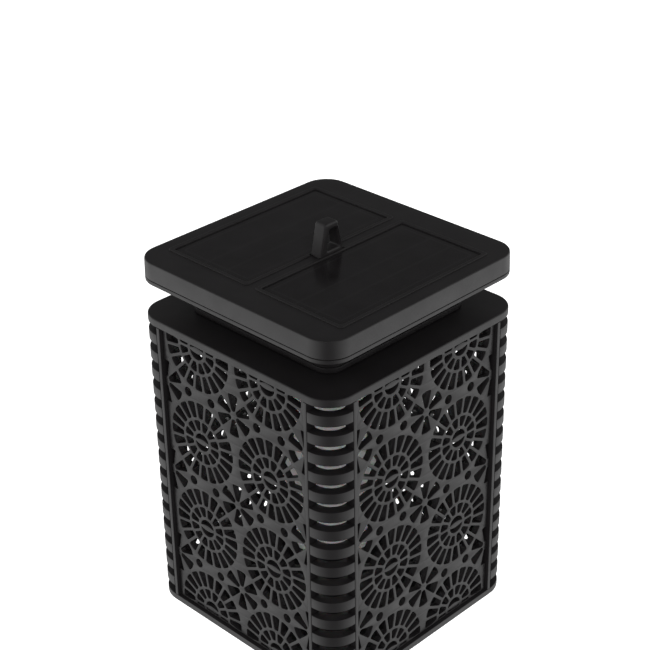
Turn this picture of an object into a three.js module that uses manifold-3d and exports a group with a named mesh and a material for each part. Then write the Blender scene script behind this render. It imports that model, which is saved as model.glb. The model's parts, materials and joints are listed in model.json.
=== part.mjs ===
// A square solar garden torch: a fretwork lantern with a lift-off solar cap, on a two-part pole
// with a ground spike. Millimetres, +Z up. The origin is on the pole's axis at ground level.
import * as THREE from 'three';
import { mergeVertices } from 'three/addons/utils/BufferGeometryUtils.js';
import Module from 'manifold-3d';

const wasm = await Module();
wasm.setup();

// Driving dimensions
const fit = 0.3;                // clearance between pieces that meet
const wall = 2.2;               // thickness of the moulded shells

const capSide = 150.8;
const capCorner = 15.2;
const coverHeight = 10.6;
const coverTopThickness = 4.6;
const trayEdge = 2.9;           // the part of the tray that shows under the cover
const trayStep = 1.5;           // the inset step under that edge
const gapHeight = 20.4;         // open gap between the cap and the lantern body

const glassWidth = 58.4;
const glassLength = 110;
const glassThickness = 2;
const glassCentre = 34.6;       // from the middle of the cap to the middle of each panel
const beadWidth = 2.4;
const beadHeight = 0.7;
const glassCorner = 1.5;
const capEdge = 0.8;            // rounding of the cap's top edge

const loopHeight = 19;
const loopThickness = 8;
const loopBase = 19;
const loopTop = 9.7;
const loopBar = 4;
const loopEdge = 1.5;           // cut corners at the loop's top
const loopEyeFoot = 2.8;        // cap to the bottom of the eye
const loopEyeShift = 1.1;       // the eye is this much nearer the loop's +Y end
const loopLeg = 3.1;            // thickness of the loop's legs, at the top and at the foot
const loopLegFoot = 4;
const tenonShoulder = 1.6;      // the tenon is this much thinner than the loop, each side
const tenonInset = 1.5;         // and this much shorter at each end

const bodySide = 151.6;
const bodyCorner = 16.3;
const rimHeight = 4.6;
const plateOpening = 88;        // square hole in the top plate that the flame unit drops through
const plateOpeningCorner = 6.4;
const rimEdge = 0.6;            // rounding of the body's top edge
const baseEdge = 1;             // and of its bottom edge
const slotDepth = 6;            // radial thickness of the corner ribs
const slotHeight = 5.5;
const slotsPerRow = 5;
const barWidth = 2.3;           // flat vertical bar each side of a ribbed corner
const barDepth = 8;
const barSetback = 0.9;         // from a bar to the start of the corner's curve
const flangeReach = 4.5;        // how far a corner post reaches behind a fretwork panel

const rows = 3;
const rowPitch = 59.4;
const columnPitch = 55.2;
const rowInset = 7.5;           // top face of the body to the first row of rosette centres
const panelWidth = 112;
const panelThickness = 4;
const panelRecess = 2.1;
const rosetteInner = 7.6;
const rosetteOuter = 25.2;
const rosetteWindows = 8;
const spokeWidth = 2;
const starPetals = 6;
const petalInner = 3.2;
const petalOuter = 13.5;
const petalHalfAngle = Math.PI / 11;

const neckSide = 111;
const neckCorner = 10;
const neckFloorThickness = 3.2;
const spigotDrop = 6.4;
const spigotPlay = 0.8;         // the spigot is this much narrower than the opening
const padHeight = 4;            // posts on the neck floor that carry the circuit board
const flameRadius = 28;         // outside of the frosted tube
const flameWall = 1.4;
const flameLength = 150;
const coreRadius = 16;
const coreLength = 136;
const coreWall = 3.6;
const sleeveWall = 0.9;

const poleRadius = 12.7;
const poleWall = 1.4;
const poleSection = 220;
const collarHeight = 8;
const spigotLength = 25;
const socketDepth = 34;
const socketFlange = 64;
const socketFlangeThickness = 4;
const spikeLength = 150;
const spikeFlange = 5;
const spikeBlade = 3.2;

// Screws: four at the corners of a square, at this distance from the middle
const capScrewInset = 63.5;
const floorScrewInset = 48.5;
const baseScrewInset = 61;
const socketScrewInset = 25;
const screwRadius = 1.5;
const screwHead = 2.8;
const screwHeadHeight = 1.8;
const screwLength = 8;
const screwSunk = 0.2;          // how far a sunk head lies below its face

const pilotDepth = 8;
const capBoss = 4;
const neckBoss = 4.5;

const batteryRadius = 9.1;      // an 18650 cell in its wrap
const batteryLength = 65;
const batteryOffset = 22;       // from the middle of the neck
const cradleWall = 2;
const cradleFloor = 2;
const cradleHeight = 11;
const boardThickness = 1.6;

const buttonRadius = 5;
const buttonFlange = 1.2;
const buttonFlangeThickness = 1.7;
const buttonGap = 0.4;          // round the button, and between its flange and the neck's wall
const over = 1;                 // how far a cutting tool runs past the face it opens

// Levels, from the ground up
const bodyHeight = rows * rowPitch + 2 * rowInset;
const lowerPoleZ = spikeFlange + fit;
const collarZ = lowerPoleZ + poleSection + fit;
const upperPoleZ = collarZ + collarHeight + fit;
const socketWebZ = upperPoleZ + poleSection + fit;
const bodyZ = socketWebZ + socketFlangeThickness + fit;
const bodyTopZ = bodyZ + bodyHeight;
const trayZ = bodyTopZ + gapHeight;
const coverZ = trayZ + trayEdge;
const capTopZ = coverZ + coverHeight;
const neckFloorZ = bodyTopZ + fit;
const neckFloorTopZ = neckFloorZ + neckFloorThickness;
const flameTopZ = neckFloorZ - fit;
const capScrewZ = trayZ - trayStep + screwSunk;
const floorScrewZ = neckFloorZ + screwSunk;
const baseScrewZ = bodyZ + screwSunk;
const buttonZ = neckFloorTopZ + 8;
const fretBottomZ = bodyZ + rimHeight + fit;
const fretTopZ = bodyTopZ - rimHeight - fit;

const roundSteps = 20;          // sides of round pieces
const screwSteps = 6;
const cornerSteps = 5;          // steps round the corners of the square pieces
const ribSteps = 4;             // steps round a corner rib

// Materials
function material(colour, roughness, metalness) {
  return new THREE.MeshStandardMaterial({ color: colour, roughness, metalness });
}
const satinBlack = material(0x232323, 0.42, 0);
const gloss = material(0x0d0e10, 0.08, 0.1);
const frosted = material(0xd9d7d0, 0.55, 0);
const paleNylon = material(0xc9c7c0, 0.6, 0);
const boardGreen = material(0x1d5a37, 0.5, 0);
const cellBlue = material(0x27408a, 0.4, 0);
const rubberGrey = material(0x303030, 0.8, 0);
const paintedTube = material(0x1c1c1c, 0.45, 0.3);
const zincSteel = material(0x9a9c9e, 0.35, 1);

// Solids
function toSolid(geometry) {
  const bare = geometry.clone();
  bare.deleteAttribute('normal');
  bare.deleteAttribute('uv');
  const merged = mergeVertices(bare, 1e-4);
  const kept = [];
  for (let i = 0; i < merged.index.count; i += 3) {
    const [a, b, c] = [0, 1, 2].map((k) => merged.index.getX(i + k));
    if (a !== b && b !== c && c !== a) kept.push(a, b, c);
  }
  const vertProperties = new Float32Array(merged.attributes.position.array);
  return new wasm.Manifold(new wasm.Mesh({ numProp: 3, vertProperties, triVerts: new Uint32Array(kept) }));
}

function toGeometry(solid) {
  const mesh = solid.getMesh();
  const geometry = new THREE.BufferGeometry();
  geometry.setAttribute('position', new THREE.Float32BufferAttribute(mesh.vertProperties, 3));
  geometry.setIndex([...mesh.triVerts]);
  geometry.computeVertexNormals();
  return geometry;
}

function union(solids) {
  return solids.reduce((whole, solid) => whole.add(solid));
}

function cut(solid, tools) {
  return tools.reduce((rest, tool) => rest.subtract(tool), solid);
}

// A solid from rounded rectangles stacked up Z. A level gives half sizes x and y, corner radius r and z.
function stack(levels, steps = cornerSteps) {
  const perLevel = 4 * (steps + 1);
  const positions = [];
  for (const { x, y, r, z } of levels) {
    for (let corner = 0; corner < 4; corner += 1) {
      const centreX = (corner === 0 || corner === 3 ? 1 : -1) * (x - r);
      const centreY = (corner < 2 ? 1 : -1) * (y - r);
      for (let step = 0; step <= steps; step += 1) {
        const angle = (corner + step / steps) * Math.PI / 2;
        positions.push(centreX + r * Math.cos(angle), centreY + r * Math.sin(angle), z);
      }
    }
  }
  const index = [];
  for (let level = 0; level + 1 < levels.length; level += 1) {
    for (let i = 0; i < perLevel; i += 1) {
      const next = (i + 1) % perLevel;
      const a = level * perLevel + i;
      const b = level * perLevel + next;
      index.push(a, b, b + perLevel, a, b + perLevel, a + perLevel);
    }
  }
  const top = (levels.length - 1) * perLevel;
  for (let i = 1; i + 1 < perLevel; i += 1) {
    index.push(0, i + 1, i);
    index.push(top, top + i, top + i + 1);
  }
  const geometry = new THREE.BufferGeometry();
  geometry.setAttribute('position', new THREE.Float32BufferAttribute(positions, 3));
  geometry.setIndex(index);
  return toSolid(geometry);
}

function slab(side, r, z0, z1, steps = cornerSteps) {
  const half = side / 2;
  return stack([{ x: half, y: half, r, z: z0 }, { x: half, y: half, r, z: z1 }], steps);
}

// A plain box between two corners
function block([x0, y0, z0], [x1, y1, z1]) {
  const geometry = new THREE.BoxGeometry(x1 - x0, y1 - y0, z1 - z0);
  geometry.translate((x0 + x1) / 2, (y0 + y1) / 2, (z0 + z1) / 2);
  return toSolid(geometry);
}

// A solid of revolution about Z: the profile is a list of [radius, z], anticlockwise
function turned(profile, steps = roundSteps) {
  const points = profile.map(([radius, z]) => new THREE.Vector2(radius, z));
  const geometry = new THREE.LatheGeometry(points, steps);
  geometry.rotateX(Math.PI / 2);
  return toSolid(geometry);
}

function rod(radius, z0, z1, steps = roundSteps) {
  return turned([[0, z0], [radius, z0], [radius, z1], [0, z1]], steps);
}

function tube(outer, inner, z0, z1) {
  return turned([[inner, z0], [outer, z0], [outer, z1], [inner, z1], [inner, z0]]);
}

const corners = [[1, 1], [-1, 1], [-1, -1], [1, -1]];

// The same solid at the four corners of a square of half size d
function fourAt(solid, d) {
  return corners.map(([sx, sy]) => solid.translate([sx * d, sy * d, 0]));
}

// An outline in XY drawn up from z0 to z1
function prism(outline, holes, z0, z1) {
  const shape = new THREE.Shape(outline.map(([x, y]) => new THREE.Vector2(x, y)));
  for (const hole of holes) {
    shape.holes.push(new THREE.Path(hole.map(([x, y]) => new THREE.Vector2(x, y))));
  }
  const geometry = new THREE.ExtrudeGeometry(shape, { depth: z1 - z0, bevelEnabled: false });
  geometry.translate(0, 0, z0);
  return geometry;
}

function arcPoints(centre, radius, from, to, steps) {
  return Array.from({ length: steps + 1 }, (_, i) => {
    const angle = from + (to - from) * i / steps;
    return [centre[0] + radius * Math.cos(angle), centre[1] + radius * Math.sin(angle)];
  });
}

// The assembly
const torch = new THREE.Group();
torch.name = 'garden_torch';

function add(name, solid, look) {
  const mesh = new THREE.Mesh(toGeometry(solid), look.clone());
  mesh.name = name;
  torch.add(mesh);
  return mesh;
}

// Cap cover: a shallow lid with two glass recesses, each inside a raised bead
function glassAt(side, grow, z0, z1) {
  const x = glassWidth / 2 + grow;
  const y = glassLength / 2 + grow;
  const outline = { x, y, r: glassCorner + grow };
  return stack([{ ...outline, z: z0 }, { ...outline, z: z1 }], 2).translate([side * glassCentre, 0, 0]);
}

// Room for the wires under each panel
function wireHole(side) {
  const x = side * glassCentre;
  const [halfX, halfY] = [5, 4];
  return block([x - halfX, -halfY, capTopZ - coverTopThickness - over], [x + halfX, halfY, capTopZ]);
}

// The loop's tenon, and with some play the slot that it goes through
function loopTenon(play, z0, z1) {
  const halfX = loopThickness / 2 - tenonShoulder + play;
  const halfY = loopBase / 2 - tenonInset + play;
  return block([-halfX, -halfY, z0], [halfX, halfY, z1]);
}

function capCover() {
  const half = capSide / 2;
  const easing = capEdge * 0.3;
  const outside = stack([
    { x: half, y: half, r: capCorner, z: coverZ },
    { x: half, y: half, r: capCorner, z: capTopZ - capEdge },
    { x: half - easing, y: half - easing, r: capCorner - easing, z: capTopZ - easing },
    { x: half - capEdge, y: half - capEdge, r: capCorner - capEdge, z: capTopZ },
  ]);
  const sides = [-1, 1];
  const ceilingZ = capTopZ - coverTopThickness;
  const beads = sides.map((side) => glassAt(side, fit + beadWidth, capTopZ - over, capTopZ + beadHeight));
  const hollow = slab(capSide - 2 * wall, capCorner - wall, coverZ - over, ceilingZ);
  const recessFloor = capTopZ - glassThickness - 2 * fit;
  const recesses = sides.map((side) => glassAt(side, fit, recessFloor, capTopZ + beadHeight + over));
  const wireHoles = sides.map(wireHole);
  const loopSlot = loopTenon(fit, coverZ, capTopZ + over);
  const loopSeat = [loopThickness / 2 + fit, loopBase / 2 + fit];
  const seat = block([-loopSeat[0], -loopSeat[1], capTopZ], [...loopSeat, capTopZ + over]);
  const bosses = fourAt(rod(capBoss, coverZ, ceilingZ + 0.5, screwSteps * 2), capScrewInset);
  const pilot = rod(screwRadius + fit, coverZ - over, ceilingZ + 0.4, screwSteps);
  const shell = cut(union([outside, ...beads]), [hollow, ...recesses, ...wireHoles, loopSlot, seat]);
  return cut(union([shell, ...bosses]), fourAt(pilot, capScrewInset));
}

add('cap_cover', capCover(), satinBlack);

// Solar panels
for (const [name, side] of [['solar_panel_left', -1], ['solar_panel_right', 1]]) {
  const z0 = capTopZ - glassThickness - fit;
  add(name, glassAt(side, 0, z0, z0 + glassThickness), gloss);
}

// Hanging loop: a tapered eye in the YZ plane, with a tenon through the cover
function hangingLoop() {
  const slope = (loopBase - loopTop) / 2 / loopHeight;
  const eyeTop = loopHeight - loopBar;
  const eyeHalf = (z, leg) => loopBase / 2 - slope * z - leg;
  const eyeFootHalf = eyeHalf(loopEyeFoot, loopLegFoot);
  const eyeTopHalf = eyeHalf(eyeTop, loopLeg);
  const shoulder = loopTop / 2 + 0.4 * loopEdge;
  const crown = loopTop / 2 - 0.6 * loopEdge;
  const outline = [
    [-loopBase / 2, fit], [loopBase / 2, fit],
    [shoulder, loopHeight - loopEdge], [crown, loopHeight],
    [-crown, loopHeight], [-shoulder, loopHeight - loopEdge],
  ];
  const eye = [
    [loopEyeShift - eyeFootHalf, loopEyeFoot], [loopEyeShift + eyeFootHalf, loopEyeFoot],
    [loopEyeShift + eyeTopHalf, eyeTop], [loopEyeShift - eyeTopHalf, eyeTop],
  ];
  const plate = prism(outline, [eye], -loopThickness / 2, loopThickness / 2);
  // the outline's x runs along Y and its y runs up Z
  plate.rotateX(Math.PI / 2);
  plate.rotateZ(Math.PI / 2);
  plate.translate(0, 0, capTopZ);
  return toSolid(plate).add(loopTenon(0, capTopZ - coverTopThickness, capTopZ + over));
}
add('hanging_loop', hangingLoop(), satinBlack);

// Cap tray: the underside of the cap, moulded with the hollow square neck
function capTray() {
  const half = capSide / 2;
  const stepInset = 3.5;
  const edge = 0.8;
  const lipInset = wall + fit;
  const lipHeight = 2.2;
  const pocketInset = lipInset + 2;
  const top = coverZ - fit;
  const ring = (inset, z) => ({ x: half - inset, y: half - inset, r: capCorner - inset, z });
  const plate = stack([
    ring(stepInset, trayZ - trayStep), ring(stepInset, trayZ),
    ring(edge, trayZ), ring(0, trayZ + edge), ring(0, top),
    ring(lipInset, top), ring(lipInset, top + lipHeight),
  ]);
  const pocket = slab(capSide - 2 * pocketInset, capCorner - pocketInset + fit, top, top + lipHeight + over);
  const neckZ = neckFloorTopZ + fit;
  const neck = slab(neckSide, neckCorner, neckZ, trayZ);
  const inside = slab(neckSide - 2 * wall, neckCorner - wall, neckFloorTopZ, top + over);
  const bosses = fourAt(rod(neckBoss, neckZ, trayZ, screwSteps * 2), floorScrewInset);
  const pilot = rod(screwRadius + fit, neckFloorTopZ, neckFloorTopZ + pilotDepth, screwSteps);
  const below = trayZ - 5;
  const capHole = rod(screwRadius + fit, below, top + 5, screwSteps);
  const capSink = rod(screwHead + fit, below, capScrewZ + screwHeadHeight + fit, screwSteps);
  const buttonHole = rod(buttonRadius + buttonGap, neckSide / 2 - 2 * wall, neckSide / 2 + over)
    .rotate([-90, 0, 0]).translate([0, 0, buttonZ]);
  const shell = cut(union([plate, neck]), [pocket, inside]);
  return cut(union([shell, ...bosses]), [
    ...fourAt(pilot, floorScrewInset),
    ...fourAt(capHole, capScrewInset),
    ...fourAt(capSink, capScrewInset),
    buttonHole,
  ]);
}

add('cap_tray', capTray(), satinBlack);

// Screws: one pattern, point up, head down
function screwAt(name, x, y, z) {
  const r = screwRadius;
  const profile = [
    [0, 0], [screwHead, 0], [screwHead, screwHeadHeight], [r, screwHeadHeight],
    [r, screwHeadHeight + screwLength], [0, screwHeadHeight + screwLength],
  ];
  const mesh = add(name, turned(profile, screwSteps), zincSteel);
  mesh.position.set(x, y, z);
}

function fourScrews(name, d, z) {
  corners.forEach(([sx, sy], i) => screwAt(`${name}_${i + 1}`, sx * d, sy * d, z));
}
fourScrews('cap_screw', capScrewInset, capScrewZ);

// Neck floor: closes the neck, drops into the top plate and carries the flame unit
function neckFloor() {
  const spigotSide = plateOpening - spigotPlay;
  const spigotWall = 2;
  const spigotZ = neckFloorZ - spigotDrop;
  const topZ = neckFloorTopZ + over;
  const plate = slab(neckSide, neckCorner, neckFloorZ, neckFloorTopZ);
  const spigot = slab(spigotSide, 6, spigotZ, neckFloorZ + over, 3);
  const spigotInside = slab(spigotSide - 2 * spigotWall, 4, spigotZ - over, neckFloorZ, 3);
  const collar = tube(flameRadius + fit + 2.6, flameRadius + fit, neckFloorZ - 11, neckFloorZ + over);
  const coreBoss = rod(coreRadius - coreWall - 0.4, neckFloorZ - 18, neckFloorZ + over);
  const wireWay = rod(4, neckFloorZ - 30, topZ, screwSteps);
  const pad = rod(2.5, neckFloorTopZ - over, neckFloorTopZ + padHeight, screwSteps);
  const pads = corners.map(([sx, sy]) => pad.translate([sx * 26, 26 + sy * 9, 0]));
  const hole = rod(screwRadius + fit, neckFloorZ - over, topZ, screwSteps);
  const sink = rod(screwHead + fit, neckFloorZ - over, floorScrewZ + screwHeadHeight + fit, screwSteps);
  const rim = cut(union([plate, spigot]), [spigotInside]);
  return cut(union([rim, collar, coreBoss, ...pads]), [
    wireWay, ...fourAt(hole, floorScrewInset), ...fourAt(sink, floorScrewInset),
  ]);
}
add('neck_floor', neckFloor(), satinBlack);
fourScrews('neck_screw', floorScrewInset, floorScrewZ);

// Inside the neck: battery in its cradle, circuit board, power switch and its button
function batteryHolder() {
  const z0 = neckFloorTopZ + fit;
  const halfX = 37.5;
  const halfY = 12;
  const troughHalfX = batteryLength / 2 + 0.7;
  const troughHalfY = halfY - cradleWall;
  const body = block([-halfX, -halfY, z0], [halfX, halfY, z0 + cradleHeight]);
  const trough = block(
    [-troughHalfX, -troughHalfY, z0 + cradleFloor],
    [troughHalfX, troughHalfY, z0 + cradleHeight + over],
  );
  return body.subtract(trough).translate([0, -batteryOffset, 0]);
}
add('battery_holder', batteryHolder(), satinBlack);

const battery = add('battery', rod(batteryRadius, -batteryLength / 2, batteryLength / 2), cellBlue);
battery.rotation.y = Math.PI / 2;
battery.position.set(0, -batteryOffset, neckFloorTopZ + 2 * fit + cradleFloor + batteryRadius);

function circuitBoard() {
  const z0 = neckFloorTopZ + padHeight + fit;
  const top = z0 + 1;
  const board = block([-32, 12, z0], [32, 39, z0 + boardThickness]);
  const chip = block([-8, 20, top], [4, 28, top + 2]);
  const connector = block([14, 17, top], [24, 23, top + 5]);
  return union([board, chip, connector]);
}
add('circuit_board', circuitBoard(), boardGreen);

function switchBody() {
  const halfX = 5;
  const [back, front] = [43, 49.8];
  return block([-halfX, back, neckFloorTopZ + fit], [halfX, front, buttonZ + 4]);
}
add('switch_body', switchBody(), rubberGrey);

const powerButton = add('power_button', turned([
  [0, 0], [buttonRadius + buttonFlange, 0], [buttonRadius + buttonFlange, buttonFlangeThickness],
  [buttonRadius, buttonFlangeThickness], [buttonRadius, 5.4], [buttonRadius - 0.9, 6.1], [0, 6.3],
]), rubberGrey);
powerButton.rotation.x = -Math.PI / 2;
powerButton.position.set(0, neckSide / 2 - wall - buttonGap - buttonFlangeThickness, buttonZ);

// Flame unit: a core with a sleeve of lamps, inside a frosted tube with an end cap
const coreZ = flameTopZ - coreLength;
const sleeveInner = coreRadius + fit;
add('lamp_core', tube(coreRadius, coreRadius - coreWall, coreZ, flameTopZ), paleNylon);
add('lamp_sleeve', tube(sleeveInner + sleeveWall, sleeveInner, coreZ + 8, flameTopZ - 12), boardGreen);
add('flame_tube', tube(flameRadius, flameRadius - flameWall, flameTopZ - flameLength, flameTopZ), frosted);

function flameTubeCap() {
  const z = flameTopZ - flameLength - fit;
  const plug = flameRadius - flameWall - fit;
  return turned([
    [0, z - 2.4], [flameRadius - 1, z - 2.4], [flameRadius, z - 1.4], [flameRadius, z],
    [plug, z], [plug, z + 5], [plug - 2, z + 5], [plug - 2, z], [0, z],
  ]);
}
add('flame_tube_cap', flameTubeCap(), satinBlack);

// Lantern body: top plate, four ribbed corner posts, four fretwork panels and a base plate
function bodyRing(inset, z) {
  const half = bodySide / 2 - inset;
  return { x: half, y: half, r: bodyCorner - inset, z };
}

function topPlate() {
  const z0 = bodyTopZ - rimHeight;
  const plate = stack([bodyRing(0, z0), bodyRing(0, bodyTopZ - rimEdge), bodyRing(rimEdge, bodyTopZ)]);
  return plate.subtract(slab(plateOpening, plateOpeningCorner, z0 - over, bodyTopZ + over, 3));
}
add('top_plate', topPlate(), satinBlack);

// Outline of a bar and the flange behind it that the fretwork panel lies against. Behind the ribs its
// corner is cut off, which leaves the slots open to their full width.
function barOutline() {
  const face = bodySide / 2;
  const outer = face - bodyCorner - barSetback;
  const inner = outer - barWidth;
  const back = face - barDepth;
  const ribBack = face - slotDepth;
  const flangeFront = face - panelRecess - panelThickness - fit;
  return [
    [outer - (ribBack - back), back], [outer, ribBack],
    [outer, face], [inner, face], [inner, flangeFront],
    [inner - flangeReach, flangeFront], [inner - flangeReach, back],
  ];
}

// Outline of a corner rib, run on into the bar at each end
function ribOutline() {
  const face = bodySide / 2;
  const centre = face - bodyCorner;
  const end = centre - barSetback - over;
  const inside = face - slotDepth;
  return [
    ...arcPoints([centre, centre], bodyCorner, 0, Math.PI / 2, ribSteps),
    [end, face], [end, inside],
    ...arcPoints([centre, centre], bodyCorner - slotDepth, Math.PI / 2, 0, ribSteps),
    [inside, end], [face, end],
  ];
}

function cornerPost() {
  const bar = barOutline();
  const mirrored = bar.map(([x, y]) => [y, x]).reverse();
  const bars = [bar, mirrored].map((outline) => toSolid(prism(outline, [], fretBottomZ, fretTopZ)));
  const slotPitch = rowPitch / slotsPerRow;
  const ribHeight = slotPitch - slotHeight;
  const ribs = Array.from({ length: rows * slotsPerRow }, (_, i) => {
    const z = bodyTopZ - rowInset - (i + 0.5) * slotPitch - ribHeight / 2;
    return toSolid(prism(ribOutline(), [], z, z + ribHeight));
  });
  const footFrom = bodySide / 2 - bodyCorner - barSetback - barWidth;
  const footTo = bodySide / 2 - barDepth + over;
  const foot = block([footFrom, footFrom, fretBottomZ], [footTo, footTo, fretBottomZ + 12]);
  const pilot = rod(screwRadius + fit, fretBottomZ - over, fretBottomZ + 7, screwSteps)
    .translate([baseScrewInset, baseScrewInset, 0]);
  return cut(union([...bars, ...ribs, foot]), [pilot]);
}

const post = cornerPost();
for (let i = 0; i < 4; i += 1) {
  add(`corner_post_${i + 1}`, post, satinBlack).rotation.z = i * Math.PI / 2;
}

// A point at a distance and an angle from a centre
function polar(centre, radius, angle) {
  return [centre[0] + radius * Math.cos(angle), centre[1] + radius * Math.sin(angle)];
}

// A rosette window: the space between two spokes and two rings
function rosetteWindow(centre, index) {
  const step = 2 * Math.PI / rosetteWindows;
  const corner = (radius, side) => {
    const halfSpoke = spokeWidth / 2 / radius;
    return polar(centre, radius, step * (index + 0.5) + side * (step / 2 - halfSpoke));
  };
  return [
    corner(rosetteInner, -1), corner(rosetteOuter, -1), corner(rosetteOuter, 1), corner(rosetteInner, 1),
  ];
}

// A star's petal: a triangle with its point near the star's centre
function starPetal(centre, index) {
  const turn = Math.PI / 6 + index * 2 * Math.PI / starPetals;
  return [
    polar(centre, petalInner, turn),
    polar(centre, petalOuter, turn - petalHalfAngle),
    polar(centre, petalOuter, turn + petalHalfAngle),
  ];
}

function fretPanel() {
  const half = panelWidth / 2;
  const border = 1.2;
  const outline = [[-half, fretBottomZ], [half, fretBottomZ], [half, fretTopZ], [-half, fretTopZ]];
  const isInside = (window) => window.every(([, v]) => v > fretBottomZ + border && v < fretTopZ - border);
  const holes = [];
  for (let row = 0; row <= rows; row += 1) {
    const z = bodyTopZ - rowInset - row * rowPitch;
    for (const x of [-columnPitch / 2, columnPitch / 2]) {
      for (let i = 0; i < rosetteWindows; i += 1) {
        const window = rosetteWindow([x, z], i);
        if (isInside(window)) holes.push(window);
      }
    }
    if (row < rows) {
      for (let i = 0; i < starPetals; i += 1) holes.push(starPetal([0, z - rowPitch / 2], i));
    }
  }
  const geometry = prism(outline, holes, 0, panelThickness);
  // stand the panel up, facing +X
  geometry.rotateX(Math.PI / 2);
  geometry.rotateZ(Math.PI / 2);
  geometry.translate(bodySide / 2 - panelRecess - panelThickness, 0, 0);
  return toSolid(geometry);
}

const panel = fretPanel();
['right', 'back', 'left', 'front'].forEach((side, i) => {
  add(`fret_panel_${side}`, panel, satinBlack).rotation.z = i * Math.PI / 2;
});

function basePlate() {
  const topZ = bodyZ + rimHeight;
  const below = bodyZ - over;
  const plate = stack([bodyRing(baseEdge, bodyZ), bodyRing(0, bodyZ + baseEdge), bodyRing(0, topZ)]);
  const hole = rod(screwRadius + fit, below, topZ + over, screwSteps);
  const sink = rod(screwHead + fit, below, baseScrewZ + screwHeadHeight + fit, screwSteps);
  return cut(plate, [
    ...fourAt(hole, baseScrewInset), ...fourAt(sink, baseScrewInset), ...fourAt(hole, socketScrewInset),
  ]);
}

add('base_plate', basePlate(), satinBlack);
fourScrews('base_screw', baseScrewInset, baseScrewZ);

// Pole socket: a flanged cup under the base plate that the pole pushes into
function poleSocket() {
  const lipZ = socketWebZ - socketDepth;
  const bore = poleRadius + fit;
  const flange = slab(socketFlange, 8, socketWebZ, socketWebZ + socketFlangeThickness, 3);
  const cup = turned([
    [bore, lipZ], [bore + 3.2, lipZ], [bore + 4.4, lipZ + 2], [bore + 4.4, socketWebZ - 8],
    [bore + 9, socketWebZ + 1], [0, socketWebZ + 1], [0, socketWebZ], [bore, socketWebZ], [bore, lipZ],
  ]);
  const flangeTopZ = socketWebZ + socketFlangeThickness;
  const hole = rod(screwRadius + fit, socketWebZ - over, flangeTopZ + over, screwSteps);
  return cut(union([flange, cup]), fourAt(hole, socketScrewInset));
}
add('pole_socket', poleSocket(), satinBlack);
fourScrews('socket_screw', socketScrewInset, socketWebZ - fit - screwHeadHeight);

// Pole: two tubes joined by a collar with a spigot each way
for (const [name, z] of [['upper_pole', upperPoleZ], ['lower_pole', lowerPoleZ]]) {
  add(name, tube(poleRadius, poleRadius - poleWall, z, z + poleSection), paintedTube);
}

const plugRadius = poleRadius - poleWall - fit;
function poleCollar() {
  const edge = 0.8;
  const bore = plugRadius - 2.5;
  const grip = poleRadius + 2 * edge;
  const top = collarZ + collarHeight;
  const plugZ = collarZ - spigotLength;
  const plugTopZ = top + spigotLength;
  return turned([
    [bore, plugZ], [plugRadius - edge, plugZ], [plugRadius, plugZ + 1], [plugRadius, collarZ],
    [grip - edge, collarZ], [grip, collarZ + edge], [grip, top - edge], [grip - edge, top],
    [plugRadius, top], [plugRadius, plugTopZ - 1], [plugRadius - edge, plugTopZ], [bore, plugTopZ],
    [bore, plugZ],
  ]);
}
add('pole_collar', poleCollar(), satinBlack);

// Ground spike: four tapering blades under a flange that stops at the soil, and a plug into the pole
function groundSpike() {
  const plugTopZ = spikeFlange + spigotLength;
  const head = turned([
    [0, -2], [16, -2], [22, 0], [23, 1], [23, 3], [20, spikeFlange],
    [plugRadius, spikeFlange], [plugRadius, plugTopZ - 1], [plugRadius - 1, plugTopZ], [0, plugTopZ],
  ]);
  const half = [[15, -over], [13, -60], [1.2, -spikeLength]];
  const blade = [...half.map(([x, z]) => [-x, z]), ...half.reverse()];
  const blades = [0, 1].map((turn) => {
    const geometry = prism(blade, [], -spikeBlade / 2, spikeBlade / 2);
    geometry.rotateX(Math.PI / 2);
    geometry.rotateZ(turn * Math.PI / 2);
    return toSolid(geometry);
  });
  return union([head, ...blades]);
}
add('ground_spike', groundSpike(), satinBlack);

export default torch;
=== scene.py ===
"""The looks of a square solar garden torch: a fretwork lantern with a solar cap, on a pole with a spike.

Shapes are made in millimetres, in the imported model's frame (+Z up, ground at z = 0), and turned into
metres when they are placed. Each shown piece takes its place, and its size where it can, from the CAD
node that it stands for.
"""

import json
import math

import bmesh
import bpy
from mathutils import Matrix, Quaternion, Vector

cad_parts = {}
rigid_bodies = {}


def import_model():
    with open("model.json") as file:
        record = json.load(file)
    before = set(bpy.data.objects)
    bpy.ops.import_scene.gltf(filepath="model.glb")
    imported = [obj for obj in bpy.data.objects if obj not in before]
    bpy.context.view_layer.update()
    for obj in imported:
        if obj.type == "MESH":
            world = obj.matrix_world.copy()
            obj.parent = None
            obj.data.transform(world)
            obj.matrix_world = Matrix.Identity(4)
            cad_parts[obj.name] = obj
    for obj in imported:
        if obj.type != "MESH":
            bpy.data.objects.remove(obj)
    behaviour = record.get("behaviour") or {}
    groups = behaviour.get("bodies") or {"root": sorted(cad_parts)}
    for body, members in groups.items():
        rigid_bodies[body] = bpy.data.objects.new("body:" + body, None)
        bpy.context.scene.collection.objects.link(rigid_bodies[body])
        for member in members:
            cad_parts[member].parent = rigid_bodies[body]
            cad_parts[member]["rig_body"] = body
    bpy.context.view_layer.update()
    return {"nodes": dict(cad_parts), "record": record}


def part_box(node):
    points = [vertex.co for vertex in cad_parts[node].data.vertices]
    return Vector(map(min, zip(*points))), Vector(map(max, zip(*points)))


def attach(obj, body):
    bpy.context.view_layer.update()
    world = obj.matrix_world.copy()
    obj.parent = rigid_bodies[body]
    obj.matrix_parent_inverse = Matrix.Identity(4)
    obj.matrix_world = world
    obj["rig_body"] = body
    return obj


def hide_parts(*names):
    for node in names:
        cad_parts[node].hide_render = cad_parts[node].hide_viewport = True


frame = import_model()
scene = bpy.context.scene

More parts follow.
